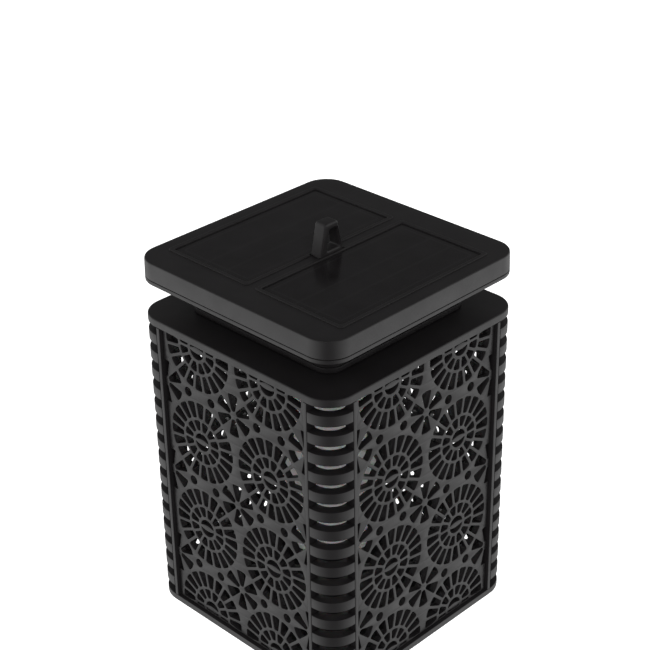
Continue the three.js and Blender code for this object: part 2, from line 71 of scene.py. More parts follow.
MM = 0.001
FIT = 0.3                 # clearance between pieces that meet
OVERLAP = 0.05            # how far a cut runs past a face that it ends on
ROUND_STEPS = 96          # sides of round pieces
CORNER_STEPS = 12         # steps round the corners of the square pieces
SHARP_ANGLE = math.radians(32)    # smooth shading stops at edges sharper than this


def box(node):
    """Lowest and highest corner of a CAD node, in millimetres."""
    lo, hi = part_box(node)
    return lo / MM, hi / MM


# Places and sizes that come from the frame
cover_lo, cover_hi = box("cap_cover")
tray_lo, tray_hi = box("cap_tray")
glass_lo, glass_hi = box("solar_panel_right")
loop_lo, loop_hi = box("hanging_loop")
floor_hi = box("neck_floor")[1]
flame_lo, flame_hi = box("flame_tube")
flame_cap_lo, flame_cap_hi = box("flame_tube_cap")
button_lo, button_hi = box("power_button")
plate_lo, plate_hi = box("top_plate")
base_lo, base_hi = box("base_plate")
post_lo, post_hi = box("corner_post_1")
panel_lo, panel_hi = box("fret_panel_right")
socket_lo, socket_hi = box("pole_socket")
collar_lo, collar_hi = box("pole_collar")
spike_lo, spike_hi = box("ground_spike")
pole_lo, pole_hi = box("upper_pole")

# Cap
CAP_CORNER = 15.2
BEAD_WIDTH = 2.4
BEAD_HEIGHT = 0.7
GLASS_CORNER = 1.5
GLASS_GAP = 0.12          # between a panel and its bead
COVER_DRAFT = 0.3         # the cover is this much narrower at its top, each side
COVER_TOP = 4.6           # thickness
SHELL = 2.2               # thickness of the moulded walls
TRAY_EDGE = 2.9
TRAY_STEP = 1.5           # the inset step under the tray's edge
STEP_INSET = 3.5
NECK_CORNER = 10
NECK_FLOOR = 3.2          # thickness
SPIGOT_DROP = 6.4         # the spigot under the neck floor: its height, and half its side
SPIGOT_HALF = 43.6
BUTTON_RADIUS = 5
SCREW_HEAD = 2.8          # radius of a screw's head
SCREW_HEAD_HEIGHT = 1.8
cap_half = cover_hi.x
cap_top = cover_hi.z - BEAD_HEIGHT
cover_z = cover_lo.z
tray_z = cover_z - TRAY_EDGE
glass_half = (glass_hi - glass_lo) / 2
glass_centre = (glass_hi + glass_lo) / 2
neck_half = floor_hi.x
step_half = cap_half - STEP_INSET
step_z = tray_z - TRAY_STEP
floor_top_z = tray_lo.z - FIT
button_z = (button_lo.z + button_hi.z) / 2

# Lantern body
BODY_CORNER = 16.3
BAR_WIDTH = 2.3
BAR_DEPTH = 8
BAR_SETBACK = 0.9         # from a bar to the start of the corner's curve
FLANGE_REACH = 4.5        # from a bar, behind the edge of the fretwork panel
FOOT_HEIGHT = 12          # solid foot of a corner post
RIB_DEPTH = 6
SLOT_HEIGHT = 5.5
SLOTS_PER_ROW = 5
ROWS = 3
ROW_PITCH = 58.9
COLUMN_PITCH = 55.2
ROW_INSET = 8.45          # top face of the body to the first row of rosette centres
SLOT_PITCH = 11.88
SLOT_INSET = 6.9          # top face of the body to half a pitch above the first rib
body_half = plate_hi.x
body_top = plate_hi.z

# Flame tube, pole and spike
FLAME_WALL = 1.4
POLE_WALL = 1.4
SPIKE_BLADE = 3.2
plug_radius = pole_hi.x - POLE_WALL - FIT


# Shapes

def mesh_of(points, faces):
    mesh = bpy.data.meshes.new("shape")
    mesh.from_pydata([tuple(p) for p in points], [], [tuple(f) for f in faces])
    mesh.update()
    return mesh


def bend(start, control, end, steps):
    """Points along a curve from start to end that leans towards control."""
    start, control, end = Vector(start), Vector(control), Vector(end)
    shares = [step / steps for step in range(steps + 1)]
    return [start * (1 - t) ** 2 + control * 2 * t * (1 - t) + end * t ** 2 for t in shares]


def polar(centre, radius, angle):
    return Vector((centre[0] + radius * math.cos(angle), centre[1] + radius * math.sin(angle)))


def arc(centre, radius, start, end, steps):
    return [polar(centre, radius, start + (end - start) * step / steps) for step in range(steps + 1)]


def circle(centre, radius, steps):
    return arc(centre, radius, 0, 2 * math.pi, steps)[:-1]


def soften(points, radius, steps=3, closed=True):
    """Rounds the corners of an outline. A point is (x, y), or (x, y, radius of its own)."""
    result = []
    last = len(points) - 1
    for i, point in enumerate(points):
        reach = point[2] if len(point) > 2 else radius
        here = Vector(point[:2])
        if reach == 0 or (not closed and i in (0, last)):
            result.append(here)
            continue
        to_before = Vector(points[i - 1][:2]) - here
        to_after = Vector(points[(i + 1) % len(points)][:2]) - here
        start = here + to_before.normalized() * min(reach, to_before.length * 0.45)
        end = here + to_after.normalized() * min(reach, to_after.length * 0.45)
        result += bend(start, here, end, steps)
    return result


def ring(half_x, half_y, corner, z, steps=CORNER_STEPS):
    """A rounded rectangle about the origin, at height z."""
    points = []
    for quarter in range(4):
        x = (half_x - corner) * (1 if quarter in (0, 3) else -1)
        y = (half_y - corner) * (1 if quarter < 2 else -1)
        for step in range(steps + 1):
            angle = (quarter + step / steps) * math.pi / 2
            points.append((x + corner * math.cos(angle), y + corner * math.sin(angle), z))
    return points


def loft(rings, closed=False):
    """Joins rings of points by a skin. The ends are capped, or closed joins the last ring to the first."""
    count = len(rings[0])
    faces = []
    for i in range(len(rings) if closed else len(rings) - 1):
        a = i * count
        b = (i + 1) % len(rings) * count
        for k in range(count):
            n = (k + 1) % count
            faces.append((a + k, a + n, b + n, b + k))
    if not closed:
        top = (len(rings) - 1) * count
        faces.append(tuple(reversed(range(count))))
        faces.append(tuple(range(top, top + count)))
    return mesh_of([point for one in rings for point in one], faces)


def square_loft(profile, corner_at, closed=False):
    """A skin of rounded squares. The profile is a list of (half side, z)."""
    return loft([ring(half, half, corner_at(half), z) for half, z in profile], closed)


def turned(profile, steps=ROUND_STEPS, closed=False):
    """A solid of revolution about Z. The profile is a list of (radius, z), up the outside."""
    points, rows = [], []
    for radius, z in profile:
        if radius < 1e-6:
            rows.append([len(points)] * steps)
            points.append((0, 0, z))
            continue
        rows.append(list(range(len(points), len(points) + steps)))
        for k in range(steps):
            angle = 2 * math.pi * k / steps
            points.append((radius * math.cos(angle), radius * math.sin(angle), z))
    pairs = list(zip(rows, rows[1:]))
    if closed:
        pairs.append((rows[-1], rows[0]))
    faces = []
    for low, high in pairs:
        for k in range(steps):
            n = (k + 1) % steps
            corners = list(dict.fromkeys((low[k], low[n], high[n], high[k])))
            if len(corners) > 2:
                faces.append(corners)
    return mesh_of(points, faces)


def prism(outline, z0, z1):
    return loft([[(x, y, z) for x, y in outline] for z in (z0, z1)])


def block(lo, hi):
    (x0, y0, z0), (x1, y1, z1) = lo, hi
    return prism([(x0, y0), (x1, y0), (x1, y1), (x0, y1)], z0, z1)


def moved(mesh, offset):
    copy = mesh.copy()
    copy.transform(Matrix.Translation(offset))
    return copy


def turned_about(mesh, angle, axis):
    copy = mesh.copy()
    copy.transform(Matrix.Rotation(angle, 4, axis))
    return copy


def at_corners(mesh, distance):
    """The same shape at the four corners of a square, as one mesh."""
    return joined([moved(mesh, (x * distance, y * distance, 0)) for x, y in CORNERS])


CORNERS = [(1, 1), (-1, 1), (-1, -1), (1, -1)]


def joined(meshes):
    """Meshes that don't touch, as one."""
    whole = bmesh.new()
    for mesh in meshes:
        whole.from_mesh(mesh)
    result = bpy.data.meshes.new("joined")
    whole.to_mesh(result)
    whole.free()
    return result


def applied(mesh, *modifiers):
    """The mesh that modifiers make of it. A modifier is (type, {setting: value})."""
    holder = bpy.data.objects.new("holder", mesh)
    scene.collection.objects.link(holder)
    for kind, settings in modifiers:
        modifier = holder.modifiers.new(kind, kind)
        for name, value in settings.items():
            setattr(modifier, name, value)
    depsgraph = bpy.context.evaluated_depsgraph_get()
    result = bpy.data.meshes.new_from_object(holder.evaluated_get(depsgraph))
    bpy.data.objects.remove(holder)
    return result


def combined(mesh, operation, tools):
    """The mesh after each tool is joined to it (UNION) or cut from it (DIFFERENCE)."""
    for tool in tools:
        other = bpy.data.objects.new("tool", tool)
        scene.collection.objects.link(other)
        mesh = applied(mesh, ("BOOLEAN", {"operation": operation, "solver": "EXACT", "object": other}))
        bpy.data.objects.remove(other)
    return mesh


def trimmed(mesh, level):
    """The part of a closed mesh above a level, closed again with a flat face."""
    whole = bmesh.new()
    whole.from_mesh(mesh)
    cut = bmesh.ops.bisect_plane(whole, geom=[*whole.verts, *whole.edges, *whole.faces],
                                 plane_co=(0, 0, level), plane_no=(0, 0, 1), clear_inner=True)
    rim = [part for part in cut["geom_cut"] if isinstance(part, bmesh.types.BMEdge)]
    bmesh.ops.edgeloop_fill(whole, edges=rim)
    bmesh.ops.recalc_face_normals(whole, faces=whole.faces)
    whole.to_mesh(mesh)
    whole.free()
    return mesh


def edged(mesh, width, angle):
    """Rounds the edges that are sharper than the angle, in degrees."""
    return applied(mesh, ("BEVEL", {
        "width": width, "segments": 2, "limit_method": "ANGLE",
        "angle_limit": math.radians(angle), "harden_normals": False, "use_clamp_overlap": True,
    }))


def fretted(outline, holes, depth, edge, edge_steps=1):
    """A flat plate in XY with holes through it, its faces at z = 0 and z = depth and its edges eased."""
    curve = bpy.data.curves.new("fret", "CURVE")
    curve.dimensions = "2D"
    curve.fill_mode = "BOTH"
    for points in [outline, *holes]:
        spline = curve.splines.new("POLY")
        spline.points.add(len(points) - 1)
        spline.use_cyclic_u = True
        for target, (x, y) in zip(spline.points, points):
            target.co = (x, y, 0, 1)
    curve.extrude = depth / 2 - edge
    curve.bevel_depth = edge
    curve.bevel_resolution = edge_steps
    curve.offset = -edge
    holder = bpy.data.objects.new("fret", curve)
    scene.collection.objects.link(holder)
    depsgraph = bpy.context.evaluated_depsgraph_get()
    mesh = bpy.data.meshes.new_from_object(holder.evaluated_get(depsgraph))
    bpy.data.objects.remove(holder)
    whole = bmesh.new()
    whole.from_mesh(mesh)
    bmesh.ops.remove_doubles(whole, verts=whole.verts, dist=1e-4)
    bmesh.ops.recalc_face_normals(whole, faces=whole.faces)
    whole.to_mesh(mesh)
    whole.free()
    mesh.transform(Matrix.Translation((0, 0, depth / 2)))
    return mesh


def stood_up(mesh, x, z=0):
    """Turns a flat plate upright, so that its X, Y and Z become Y, Z and X, and moves it by x and z."""
    mesh.transform(Matrix(((0, 0, 1, x), (1, 0, 0, 0), (0, 1, 0, z), (0, 0, 0, 1))))
    return mesh


# Materials

def tree_of(name):
    """A new material with a plain shader: the material, its nodes and the shader."""
    material = bpy.data.materials.new(name)
    material.use_nodes = True
    nodes = material.node_tree.nodes
    nodes.clear()
    output = nodes.new("ShaderNodeOutputMaterial")
    shader = nodes.new("ShaderNodeBsdfPrincipled")
    material.node_tree.links.new(shader.outputs[0], output.inputs[0])
    return material, material.node_tree, shader


def node(tree, kind, inputs=(), **settings):
    """A node with its settings, and its inputs set or linked by name."""
    made = tree.nodes.new("ShaderNode" + kind)
    for name, value in settings.items():
        setattr(made, name, value)
    for name, value in dict(inputs).items():
        if isinstance(value, bpy.types.NodeSocket):
            tree.links.new(value, made.inputs[name])
        else:
            made.inputs[name].default_value = value
    return made


def maths(tree, operation, *values):
    return node(tree, "Math", enumerate(values), operation=operation).outputs[0]


def place_in(tree):
    return node(tree, "TexCoord").outputs["Object"]


def noise(tree, scale, detail=3, roughness=0.55):
    made = node(tree, "TexNoise", {
        "Vector": place_in(tree), "Scale": scale, "Detail": detail, "Roughness": roughness,
    })
    return made.outputs[0]


def between(tree, value, low, high, from_low=0.3, from_high=0.7):
    """The value, spread from low to high."""
    made = node(tree, "MapRange", {
        "Value": value, "From Min": from_low, "From Max": from_high, "To Min": low, "To Max": high,
    })
    return made.outputs[0]


def mixed(tree, share, first, second):
    """The first colour where the share is 0, and the second where it is 1.

    The node has several sockets of each name, so its colour sockets are taken by number.
    """
    made = node(tree, "Mix", data_type="RGBA")
    for socket, value in zip((made.inputs[0], made.inputs[6], made.inputs[7]), (share, first, second)):
        if isinstance(value, bpy.types.NodeSocket):
            tree.links.new(value, socket)
        else:
            socket.default_value = (*value, 1)
    return made.outputs[2]


def clouded(tree, shader, scale, dark, light):
    """A base colour that drifts between two shades."""
    colour = mixed(tree, between(tree, noise(tree, scale), 0.0, 1.0), dark, light)
    tree.links.new(colour, shader.inputs["Base Color"])


def bumped(tree, shader, height, depth):
    """Raises the surface by height times depth, which is in millimetres."""
    made = node(tree, "Bump", {"Height": height, "Distance": depth * MM, "Strength": 1.0})
    tree.links.new(made.outputs[0], shader.inputs["Normal"])


def set_on(shader, **values):
    for name, value in values.items():
        shader.inputs[name.replace("_", " ")].default_value = value


def moulded(name, dark, light, rough_low, rough_high, grain=1500, grain_depth=0.012):
    """Moulded plastic: an even colour with slight cloudiness, a fine grain and faint smears."""
    material, tree, shader = tree_of(name)
    clouded(tree, shader, 45, dark, light)
    smears = between(tree, noise(tree, 70, 5, 0.65), rough_low, rough_high)
    tree.links.new(smears, shader.inputs["Roughness"])
    bumped(tree, shader, noise(tree, grain, 2), grain_depth)
    return material


def satin_black():
    dark, light = (0.0077, 0.0069, 0.0073), (0.0102, 0.0093, 0.0098)
    return moulded("satin_black", dark, light, 0.36, 0.46, 2400)


def solar_glass():
    """Dark glossy cells with fine collector lines, two bus lines and a faint border."""
    material, tree, shader = tree_of("solar_glass")
    split = node(tree, "SeparateXYZ", {"Vector": place_in(tree)}).outputs
    side = maths(tree, "SIGN", split[0])
    across = maths(tree, "SUBTRACT", split[0], maths(tree, "MULTIPLY", side, glass_centre.x * MM))
    line_pitch = 1.4 * MM
    first_line = -1.0         # far outside the panel
    lines_passed = maths(tree, "DIVIDE", maths(tree, "SUBTRACT", across, first_line), line_pitch)
    off_line = maths(tree, "ABSOLUTE", maths(tree, "SUBTRACT", maths(tree, "FRACT", lines_passed), 0.5))
    collector = between(tree, off_line, 0.2, 0.0, 0.02, 0.09)
    bus_places = (-5 * MM, 10 * MM)
    to_bus = [maths(tree, "ABSOLUTE", maths(tree, "SUBTRACT", across, bus_x)) for bus_x in bus_places]
    bus = between(tree, maths(tree, "MINIMUM", *to_bus), 0.3, 0.0, 0.5 * MM, 0.9 * MM)
    inset = 4 * MM
    past_x = maths(tree, "SUBTRACT", maths(tree, "ABSOLUTE", across), glass_half.x * MM - inset)
    past_y = maths(tree, "SUBTRACT", maths(tree, "ABSOLUTE", split[1]), glass_half.y * MM - inset)
    to_border = maths(tree, "ABSOLUTE", maths(tree, "MAXIMUM", past_x, past_y))
    border = between(tree, to_border, 0.5, 0.0, 0.2 * MM, 0.5 * MM)
    lines = maths(tree, "MAXIMUM", collector, maths(tree, "MAXIMUM", bus, border))
    cloud = between(tree, noise(tree, 60), 0.0, 1.0)
    cell = mixed(tree, cloud, (0.007, 0.0062, 0.0066), (0.010, 0.009, 0.0096))
    tree.links.new(mixed(tree, lines, cell, (0.018, 0.0172, 0.0177)), shader.inputs["Base Color"])
    tree.links.new(between(tree, noise(tree, 90, 4), 0.14, 0.22), shader.inputs["Roughness"])
    bumped(tree, shader, noise(tree, 35, 2), 0.02)
    set_on(shader, Specular_IOR_Level=0.3)
    return material


def frosted_plastic():
    material, tree, shader = tree_of("frosted_tube")
    clouded(tree, shader, 60, (0.82, 0.81, 0.79), (0.88, 0.87, 0.85))
    tree.links.new(between(tree, noise(tree, 120, 4), 0.45, 0.6), shader.inputs["Roughness"])
    bumped(tree, shader, noise(tree, 900, 3), 0.02)
    set_on(shader, Subsurface_Weight=0.25, Subsurface_Scale=2 * MM)
    return material


def circuit_board():
    material, tree, shader = tree_of("board_lacquer")
    tracks = node(tree, "TexBrick", {
        "Vector": place_in(tree), "Scale": 260.0, "Color1": (0.012, 0.09, 0.035, 1),
        "Color2": (0.02, 0.13, 0.05, 1), "Mortar": (0.05, 0.22, 0.10, 1), "Mortar Size": 0.02,
    })
    tree.links.new(tracks.outputs[0], shader.inputs["Base Color"])
    tree.links.new(between(tree, noise(tree, 150), 0.28, 0.42), shader.inputs["Roughness"])
    bumped(tree, shader, tracks.outputs[1], 0.03)
    return material


def cell_wrap():
    material, tree, shader = tree_of("cell_wrap")
    clouded(tree, shader, 80, (0.022, 0.055, 0.22), (0.03, 0.075, 0.28))
    tree.links.new(between(tree, noise(tree, 160, 4), 0.25, 0.4), shader.inputs["Roughness"])
    bumped(tree, shader, noise(tree, 260, 3), 0.03)
    return material


def painted_tube():
    """Powder coat: a fine orange peel over dark satin."""
    material, tree, shader = tree_of("powder_coat")
    clouded(tree, shader, 70, (0.013, 0.013, 0.0135), (0.019, 0.019, 0.0195))
    tree.links.new(between(tree, noise(tree, 110, 4), 0.3, 0.42), shader.inputs["Roughness"])
    bumped(tree, shader, noise(tree, 650, 2), 0.03)
    return material


def zinc_steel():
    material, tree, shader = tree_of("zinc_plate")
    clouded(tree, shader, 300, (0.5, 0.51, 0.52), (0.6, 0.61, 0.63))
    tree.links.new(between(tree, noise(tree, 600, 4), 0.22, 0.4), shader.inputs["Roughness"])
    bumped(tree, shader, noise(tree, 2500, 3), 0.006)
    set_on(shader, Metallic=1.0)
    return material


materials = {
    "satin_black_plastic": satin_black(),
    "solar_glass": solar_glass(),
    "frosted_plastic": frosted_plastic(),
    "pale_nylon": moulded("pale_nylon", (0.55, 0.54, 0.50), (0.63, 0.62, 0.59), 0.42, 0.55),
    "circuit_board": circuit_board(),
    "cell_wrap": cell_wrap(),
    "grey_rubber": moulded("grey_rubber", (0.03, 0.03, 0.031), (0.042, 0.042, 0.044), 0.6, 0.75, 900, 0.02),
    "black_painted_tube": painted_tube(),
    "zinc_steel": zinc_steel(),
}
slot_of = {part["node"]: part["material_slot"] for part in frame["record"]["subparts"]}


def ready(mesh):
    """A finished shape: metres, smooth where it is rounded and sharp at its edges."""
    mesh.transform(Matrix.Scale(MM, 4))
    mesh.polygons.foreach_set("use_smooth", [True] * len(mesh.polygons))
    mesh.set_sharp_from_angle(angle=SHARP_ANGLE)
    return mesh


def place(mesh, name, location=(0, 0, 0), turn=0.0):
    """Shows a shape that is ready instead of the CAD node of that name."""
    piece = bpy.data.objects.new(name + "_shown", mesh)
    scene.collection.objects.link(piece)
    piece.location = Vector(location) * MM
    piece.rotation_euler = (0, 0, turn)
    if not mesh.materials:
        mesh.materials.append(materials[slot_of[name]])
    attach(piece, frame["nodes"][name]["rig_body"])
    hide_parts(name)


# Cap

def cap_corner(half):
    return CAP_CORNER + half - cap_half


def glass_ring(grow, z):
    """The outline of a panel, grown all round, at height z."""
    points = ring(glass_half.x + grow, glass_half.y + grow, GLASS_CORNER + grow / 4, z, steps=4)
    return [(x + glass_centre.x, y, z) for x, y, z in points]


def glass_loft(profile, closed=False):
    return loft([glass_ring(grow, z) for grow, z in profile], closed)


def on_both_sides(mesh):
    return [mesh, turned_about(mesh, math.pi, "Z")]


def cap_cover():
    ceiling = cap_top - COVER_TOP
    profile = soften([
        (cap_half - SHELL, ceiling), (cap_half - SHELL, cover_z, 0.3), (cap_half, cover_z, 0.35),
        (cap_half - COVER_DRAFT, cap_top, 0.8), (cap_half - 6, cap_top),
    ], 0, steps=5, closed=False)
    shell = square_loft(profile, cap_corner)
    bead_inner = GLASS_GAP + OVERLAP
    bead_outer = BEAD_WIDTH + FIT
    bead_top = cap_top + BEAD_HEIGHT
    bead = soften([
        (bead_inner, cap_top - 1, 0), (bead_outer, cap_top - 1, 0),
        (bead_outer, bead_top), (bead_inner, bead_top),
    ], 0.55, steps=3)
    recess = glass_loft([(GLASS_GAP, glass_lo.z - FIT), (GLASS_GAP, cap_top + 2)])
    seat_x, seat_y = loop_hi.x + FIT, loop_hi.y + FIT
    seat = block((-seat_x, -seat_y, cap_top - OVERLAP), (seat_x, seat_y, bead_top + 1))
    shell = combined(shell, "UNION", on_both_sides(glass_loft(bead, closed=True)))
    shell = combined(shell, "DIFFERENCE", [*on_both_sides(recess), seat])
    place(ready(shell), "cap_cover")


def solar_panels():
    edge = 0.3
    profile = soften([
        (-2 * edge, glass_lo.z), (0, glass_lo.z), (0, glass_hi.z), (-2 * edge, glass_hi.z),
    ], edge, closed=False)
    mesh = glass_loft(profile)
    left = turned_about(mesh, math.pi, "Z")
    place(ready(mesh), "solar_panel_right")
    place(ready(left), "solar_panel_left")


def hanging_loop():
    """A tapered eye in the YZ plane, a little off the middle, with well rounded edges."""
    height = loop_hi.z - cap_top
    thickness = loop_hi.x - loop_lo.x
    base = loop_hi.y
    top = 4.85
    bar = 4
    edge = 1.1
    eye_shift = 1.1
    leg_foot, leg_top = 4, 3.1
    slope = (base - top) / height
    foot = FIT - 2 * edge
    outline = soften([(-base, foot, 0), (base, foot, 0), (top, height), (-top, height)], 1.7, steps=4)
    low, high = 2.8, height - bar
    low_half = base - slope * low - leg_foot
    high_half = base - slope * high - leg_top
    eye = soften([
        (eye_shift - low_half, low), (eye_shift + low_half, low),
        (eye_shift + high_half, high), (eye_shift - high_half, high),
    ], 1.2, steps=4)
    mesh = fretted(outline, [eye], thickness, edge, edge_steps=3)
    mesh = stood_up(mesh, -thickness / 2, cap_top)
    place(ready(trimmed(mesh, cap_top + FIT)), "hanging_loop")


def tray_corner(half):
    return cap_corner(half) if half > neck_half + 5 else NECK_CORNER + half - neck_half


def screw_sinks(group, below):
    """Holes for a group's four screw heads, from below the face that they are sunk in."""
    low, high = box(f"{group}_1")
    radius = SCREW_HEAD + FIT
    top = low.z + SCREW_HEAD_HEIGHT + FIT
    hole = turned([(0, below), (radius, below), (radius, top), (0, top)], 32)
    return at_corners(hole, (low.x + high.x) / 2)


def cap_tray():
    top = cover_z - FIT
    lip = cap_half - SHELL - FIT
    lip_top = tray_hi.z
    inside = neck_half - SHELL
    profile = soften([
        (inside, tray_lo.z, 0), (neck_half, tray_lo.z, 0.4), (neck_half, step_z, 1),
        (step_half, step_z, 0.5), (step_half, tray_z, 0.3), (cap_half, tray_z, 0.9), (cap_half, top, 0.35),
        (lip, top, 0), (lip, lip_top, 0), (lip - 2, lip_top, 0), (lip - 2, top, 0), (inside, top, 0),
    ], 0, steps=4)
    shell = square_loft(profile, tray_corner, closed=True)
    radius = BUTTON_RADIUS + 0.4    # of the button's hole
    near, far = inside - 1, neck_half + 1
    hole = turned_about(turned([(0, near), (radius, near), (radius, far), (0, far)], 48), -math.pi / 2, "X")
    hole = moved(hole, (0, 0, button_z))
    shell = combined(shell, "DIFFERENCE", [screw_sinks("cap_screw", step_z - 1), hole])
    place(ready(shell), "cap_tray")


def screws():
    """Pan heads with a cross recess, head down."""
    lo, hi = box("cap_screw_1")
    length = hi.z - lo.z
    head, head_height, radius = SCREW_HEAD, SCREW_HEAD_HEIGHT, 1.5
    core = radius - 0.25
    pitch = 0.5
    plain = 1.5               # length without thread
    turns = int((length - head_height - plain) / pitch)
    thread = []
    for turn in range(turns):
        z = head_height + 0.6 + turn * pitch
        thread += [(core, z), (radius, z + pitch / 2)]
    profile = soften([
        (0, 0), (head - 0.1, 0.0, 0.9), (head, head_height, 0.2), (core, head_height, 0),
    ], 0, closed=False)
    profile = [*profile[:-1], (core, head_height), *thread, (0.3, length), (0, length)]
    mesh = turned(profile, 32)
    arm, slot_width, depth = 1.7, 0.45, 1.0
    arm_outline = [(arm, -slot_width), (arm, slot_width), (slot_width, slot_width)]
    cross = []
    for quarter in range(4):
        turn = Matrix.Rotation(quarter * math.pi / 2, 2)
        cross += [turn @ Vector(point) for point in arm_outline]
    mesh = ready(combined(mesh, "DIFFERENCE", [prism(cross, -1, depth)]))
    for group in ("cap_screw", "neck_screw", "base_screw", "socket_screw"):
        for number in range(1, 5):
            name = f"{group}_{number}"
            low, high = box(name)
            middle = (low + high) / 2
            place(mesh, name, (middle.x, middle.y, low.z), turn=0.7 * number)


def neck_floor():
    """The plate under the neck, with a hollow spigot and a collar for the flame tube."""
    plate_z = floor_top_z - NECK_FLOOR
    spigot = plate_z - SPIGOT_DROP
    inner = SPIGOT_HALF - 2

    def corner(half):
        if half < SPIGOT_HALF + 3:
            return 6 + half - SPIGOT_HALF
        return NECK_CORNER + half - neck_half

    profile = soften([
        (inner, plate_z), (inner, spigot, 0.3), (SPIGOT_HALF, spigot, 0.5), (SPIGOT_HALF, plate_z, 0.3),
        (neck_half, plate_z, 0.6), (neck_half, floor_top_z, 0.3), (neck_half - 4, floor_top_z),
    ], 0, closed=False)
    shell = square_loft(profile, corner)
    bore = flame_hi.x + FIT
    outer = bore + 2.6
    low, high = plate_z - 11, plate_z + 1
    profile = soften([(bore, low), (outer, low), (outer, high, 0), (bore, high, 0)], 0.4)
    collar = turned(profile, closed=True)
    shell = combined(shell, "UNION", [collar])
    shell = combined(shell, "DIFFERENCE", [screw_sinks("neck_screw", plate_z - 1)])
    place(ready(shell), "neck_floor")


def power_button():
    radius = BUTTON_RADIUS
    length = button_hi.y - button_lo.y
    flange, flange_height = radius + 1.2, 1.7
    profile = soften([
        (0, 0), (flange, 0, 0.2), (flange, flange_height, 0.2), (radius, flange_height, 0.1),
        (radius, length, 1.1),
        (radius - 1.6, length - 0.1, 0.5), (radius - 2.4, length - 0.6, 0.6), (0, length - 0.7),
    ], 0, steps=4, closed=False)
    mesh = turned_about(turned(profile, 64), -math.pi / 2, "X")
    place(ready(mesh), "power_button", (0, button_lo.y, button_z))


# Flame unit

def flame_tube():
    """The frosted tube, and the cap that plugs its lower end."""
    inner, outer = flame_hi.x - FLAME_WALL, flame_hi.x
    low, high = flame_lo.z, flame_hi.z
    profile = soften([(inner, low), (outer, low), (outer, high), (inner, high)], 0.4)
    place(ready(turned(profile, closed=True)), "flame_tube")
    plug = inner - FIT
    rim = flame_lo.z - FIT
    top = flame_cap_hi.z
    cap = turned(soften([
        (0, flame_cap_lo.z + 0.5), (plug - 8, flame_cap_lo.z + 0.5, 0.3), (plug - 7, flame_cap_lo.z, 0.3),
        (outer, flame_cap_lo.z, 1.2), (outer, rim, 0.2), (plug, rim, 0), (plug, top, 0.5),
        (plug - 2, top, 0.3), (plug - 2, rim, 0.3), (0, rim),
    ], 0, closed=False))
    place(ready(cap), "flame_tube_cap")


# Lantern body

def body_corner(half):
    return BODY_CORNER + half - body_half


def top_plate():
    opening = 44
    opening_corner = 6.4

    def corner(half):
        return body_corner(half) if half > opening + 10 else opening_corner + half - opening

    profile = soften([
        (opening, plate_lo.z, 0.3), (body_half, plate_lo.z, 0.3),
        (body_half, body_top, 0.9), (opening, body_top, 0.6),
    ], 0, steps=4)
    place(ready(square_loft(profile, corner, closed=True)), "top_plate")


def base_plate():
    profile = soften([
        (body_half - 6, base_lo.z), (body_half, base_lo.z, 1.4), (body_half, base_hi.z, 0.3),
        (body_half - 6, base_hi.z),
    ], 0, steps=4, closed=False)
    shell = square_loft(profile, body_corner)
    shell = combined(shell, "DIFFERENCE", [screw_sinks("base_screw", base_lo.z - 1)])
    place(ready(shell), "base_plate")


def corner_posts():
    """Two upright bars joined round the corner by ribs, with a fine groove where a rib meets a bar.

    Behind the ribs the bars' corners are cut off, which leaves the slots open to their full width.
    """
    face = body_half
    centre = face - BODY_CORNER
    bar_outer = centre - BAR_SETBACK
    bar_inner = bar_outer - BAR_WIDTH
    back = face - BAR_DEPTH
    inside = face - RIB_DEPTH
    flange_front = panel_lo.x - FIT
    flange_inner = bar_inner - FLANGE_REACH
    bar = soften([
        (bar_outer - inside + back, back, 0), (bar_outer, inside, 0), (bar_outer, face), (bar_inner, face),
        (bar_inner, flange_front, 0), (flange_inner, flange_front, 0), (flange_inner, back, 0),
    ], 0.35)
    mirrored = [(y, x) for x, y in reversed(bar)]
    groove = 0.4
    arc_steps = 14
    end = bar_outer - 1
    outer_arc = arc((centre, centre), BODY_CORNER, 0, math.pi / 2, arc_steps)
    inner_arc = arc((centre, centre), BODY_CORNER - RIB_DEPTH, math.pi / 2, 0, arc_steps)
    outline = [
        (face - groove, end), (face - groove, bar_outer), (face, bar_outer + groove), *outer_arc,
        (bar_outer + groove, face), (bar_outer, face - groove), (end, face - groove), (end, inside),
        *inner_arc, (inside, end),
    ]
    rib_height = SLOT_PITCH - SLOT_HEIGHT
    rib = edged(prism(outline, -rib_height / 2, rib_height / 2), width=0.2, angle=50)
    ribs = []
    for number in range(ROWS * SLOTS_PER_ROW):
        ribs.append(moved(rib, (0, 0, body_top - SLOT_INSET - (number + 0.5) * SLOT_PITCH)))
    foot = block((bar_inner, bar_inner, post_lo.z), (back + 1, back + 1, post_lo.z + FOOT_HEIGHT))
    bars = joined([prism(shape, post_lo.z, post_hi.z) for shape in (bar, mirrored)])
    mesh = ready(combined(bars, "UNION", [foot, joined(ribs)]))
    for number in range(4):
        place(mesh, f"corner_post_{number + 1}", turn=number * math.pi / 2)


# Fretwork: rosettes with two rings of windows round a hub, and six-petal stars between them
HUB = 5.5                 # radius of the opening in the hub
HUB_BAR = 1.7             # half height of the lens-shaped bar across the hub
RING_1 = (7.5, 13.7)      # inner windows, from and to this radius
RING_2 = (15.4, 25.2)     # outer windows
WINDOWS_1 = 12
WINDOWS_2 = 20
SPOKE_1 = 1.7             # width of the spokes in each ring
SPOKE_2 = 1.9
PETAL = (2.6, 13.3)       # from and to this distance from the star's centre
PETAL_FOOT = 2.5          # width of a petal at its inner end
PETAL_HALF_ANGLE = math.radians(17)
PIN_HOLE = 2.8
PIN_OFFSET = 18.2         # from a star's centre to the round holes beside it
FRET_EDGE = 0.25          # rounding of the edges
FRET_BORDER = 0.8         # left whole along the top and the bottom
SMALLEST_HOLE = 2.0       # area in square millimetres


